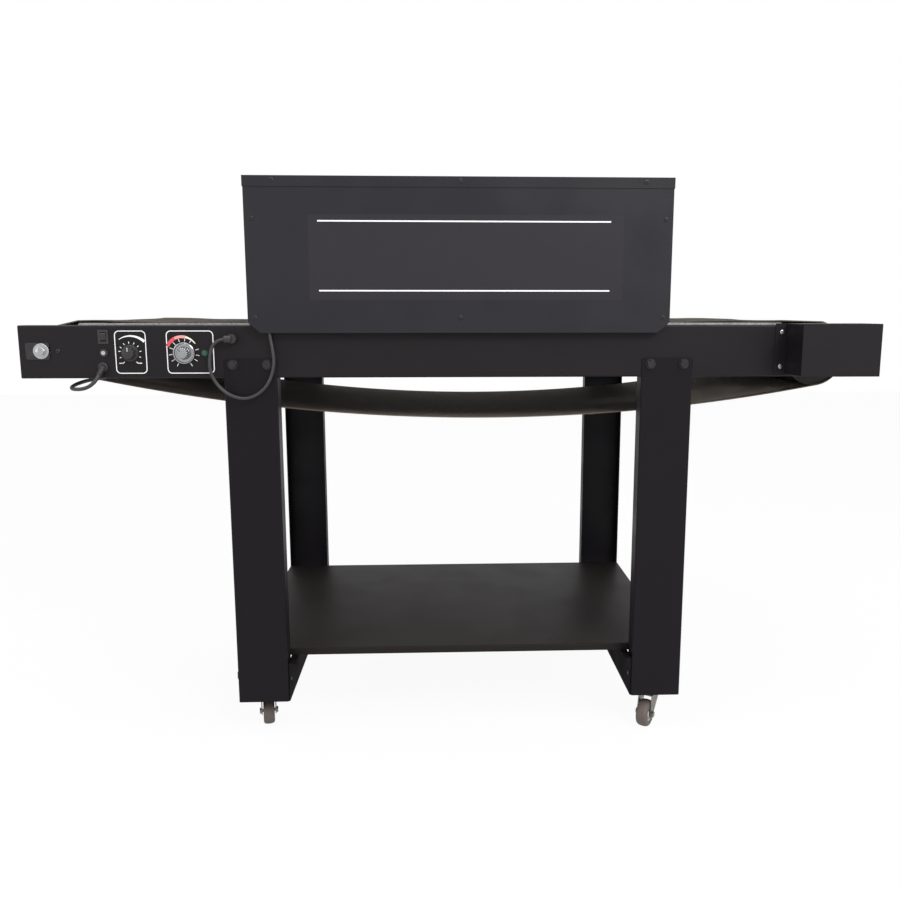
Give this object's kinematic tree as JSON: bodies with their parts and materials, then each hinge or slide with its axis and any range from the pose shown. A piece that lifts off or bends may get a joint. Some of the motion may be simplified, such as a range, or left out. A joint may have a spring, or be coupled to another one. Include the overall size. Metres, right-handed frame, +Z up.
{
  "type": "infrared conveyor dryer",
  "caption": "Small belt dryer for printed garments: a mesh belt runs through a heated hood on a wheeled steel stand with a shelf and side controls.",
  "frame": {"origin": "floor level under the middle of the machine, centred on its overall length and width without the mains cord", "axes": "+X along the belt towards the driven end, +Y from the control side to the back, +Z up"},
  "size_m": [1.829, 0.8598, 1.254],
  "materials": {
    "frame_paint": "satin black powder coat",
    "hood_paint": "satin black powder coat, a little bluer than the frame",
    "shelf_paint": "satin dark grey powder coat",
    "zinc": "bright zinc plate",
    "dark_bolt": "black oxide",
    "shaft_steel": "ground steel",
    "bearing_iron": "painted grey iron",
    "galvanised": "galvanised sheet",
    "roller_steel": "dull rolled tube",
    "motor_paint": "semi-matt grey paint",
    "reflector": "bright aluminised sheet",
    "blanket": "white ceramic fibre",
    "heater_face": "matt dark emitter face",
    "belt": "dark brown coated glass mesh",
    "tread": "grey-brown thermoplastic rubber",
    "black_plastic": "fine matt moulding",
    "gloss_black": "smooth moulding",
    "control_gear": "moulded body with a green board",
    "chrome": "bright plate",
    "green_lens": "clear green lens",
    "cord_jacket": "black vinyl jacket"
  },
  "bodies": {
    "frame": {"front_side_rail": "frame_paint", "rear_side_rail": "frame_paint", "cross_members": "frame_paint", "slider_bed": "galvanised", "front_left_leg": "frame_paint", "front_right_leg": "frame_paint", "rear_left_leg": "frame_paint", "rear_right_leg": "frame_paint", "left_side_stretcher": "frame_paint", "right_side_stretcher": "frame_paint", "shelf": "shelf_paint", "frame_bolts": "dark_bolt", "hood_front_panel": "hood_paint", "hood_rear_panel": "hood_paint", "hood_left_end": "hood_paint", "hood_right_end": "hood_paint", "hood_lid": "hood_paint", "hood_brackets": "frame_paint", "panel_screws": "zinc", "reflector_pan": "reflector", "insulation_blanket": "blanket", "heater_panels": "heater_face", "heater_hangers": "zinc", "temperature_probe": "shaft_steel", "conveyor_belt": "belt", "drive_bearings": "bearing_iron", "gearmotor": "motor_paint", "drive_cover": "frame_paint", "speed_control": "control_gear", "temperature_control": "chrome", "power_switch": "black_plastic", "circuit_breaker": "black_plastic", "pilot_light": "green_lens", "control_cover": "frame_paint", "mains_strain_relief": "black_plastic", "mains_cord": "cord_jacket", "mains_cord_coil": "cord_jacket", "mains_plug": "black_plastic", "hood_lead_glands": "black_plastic", "hood_lead": "cord_jacket", "caster_plates": "zinc"},
    "drive": {"drive_roller": "roller_steel", "drive_shaft": "shaft_steel", "shaft_coupling": "shaft_steel"},
    "take_up": {"idler_shaft": "shaft_steel", "take_up_blocks": "galvanised", "take_up_bolts": "zinc"},
    "idler": {"idler_roller": "roller_steel"},
    "speed_knob": {"speed_knob": "black_plastic"},
    "temperature_knob": {"temperature_knob": "chrome"},
    "power_rocker": {"power_rocker": "gloss_black"},
    "reset_button": {"reset_button": "chrome"},
    "front_left_swivel": {"front_left_fork": "zinc"},
    "front_left_wheel": {"front_left_wheel": "tread"},
    "front_right_swivel": {"front_right_fork": "zinc"},
    "front_right_wheel": {"front_right_wheel": "tread"},
    "rear_left_swivel": {"rear_left_fork": "zinc"},
    "rear_left_wheel": {"rear_left_wheel": "tread"},
    "rear_right_swivel": {"rear_right_fork": "zinc"},
    "rear_right_wheel": {"rear_right_wheel": "tread"}
  },
  "joints": [
    {"name": "drive_spin", "type": "hinge", "parent": "frame", "child": "drive", "pos_m": [0.8385, 0.0321, 0.8775], "axis": [0, 1, 0], "continuous": true},
    {"name": "take_up_slide", "type": "slide", "parent": "frame", "child": "take_up", "axis": [1, 0, 0], "range_m": [0, 0.012]},
    {"name": "idler_spin", "type": "hinge", "parent": "take_up", "child": "idler", "pos_m": [-0.8677, 0.0321, 0.8925], "axis": [0, 1, 0], "continuous": true},
    {"name": "speed_knob_turn", "type": "hinge", "parent": "frame", "child": "speed_knob", "pos_m": [-0.682, -0.3429, 0.888], "axis": [0, 1, 0], "range_deg": [-150, 150]},
    {"name": "temperature_knob_turn", "type": "hinge", "parent": "frame", "child": "temperature_knob", "pos_m": [-0.5675, -0.3429, 0.888], "axis": [0, 1, 0], "range_deg": [-135, 135]},
    {"name": "rocker_tilt", "type": "hinge", "parent": "frame", "child": "power_rocker", "pos_m": [-0.7365, -0.3429, 0.9227], "axis": [1, 0, 0], "range_deg": [-16, 0]},
    {"name": "reset_push", "type": "slide", "parent": "frame", "child": "reset_button", "axis": [0, 1, 0], "range_m": [0, 0.003], "stiffness_N_per_m": 400},
    {"name": "front_left_swivel_turn", "type": "hinge", "parent": "frame", "child": "front_left_swivel", "pos_m": [-0.428, -0.2969, 0.08], "axis": [0, 0, 1], "continuous": true},
    {"name": "front_left_wheel_roll", "type": "hinge", "parent": "front_left_swivel", "child": "front_left_wheel", "pos_m": [-0.43361, -0.27049, 0.03175], "axis": [-0.9781, -0.2079, 0], "continuous": true},
    {"name": "front_right_swivel_turn", "type": "hinge", "parent": "frame", "child": "front_right_swivel", "pos_m": [0.481, -0.2969, 0.08], "axis": [0, 0, 1], "continuous": true},
    {"name": "front_right_wheel_roll", "type": "hinge", "parent": "front_right_swivel", "child": "front_right_wheel", "pos_m": [0.46551, -0.31902, 0.03175], "axis": [0.8192, -0.5736, 0], "continuous": true},
    {"name": "rear_left_swivel_turn", "type": "hinge", "parent": "frame", "child": "rear_left_swivel", "pos_m": [-0.428, 0.3611, 0.08], "axis": [0, 0, 1], "continuous": true},
    {"name": "rear_left_wheel_roll", "type": "hinge", "parent": "rear_left_swivel", "child": "rear_left_wheel", "pos_m": [-0.4145, 0.38448, 0.03175], "axis": [-0.866, 0.5, 0], "continuous": true},
    {"name": "rear_right_swivel_turn", "type": "hinge", "parent": "frame", "child": "rear_right_swivel", "pos_m": [0.481, 0.3611, 0.08], "axis": [0, 0, 1], "continuous": true},
    {"name": "rear_right_wheel_roll", "type": "hinge", "parent": "rear_right_swivel", "child": "rear_right_wheel", "pos_m": [0.46364, 0.38178, 0.03175], "axis": [-0.766, -0.6428, 0], "continuous": true}
  ],
  "couplings": [
    {"joint": "idler_spin", "follows": "drive_spin", "ratio": 1.53}
  ]
}
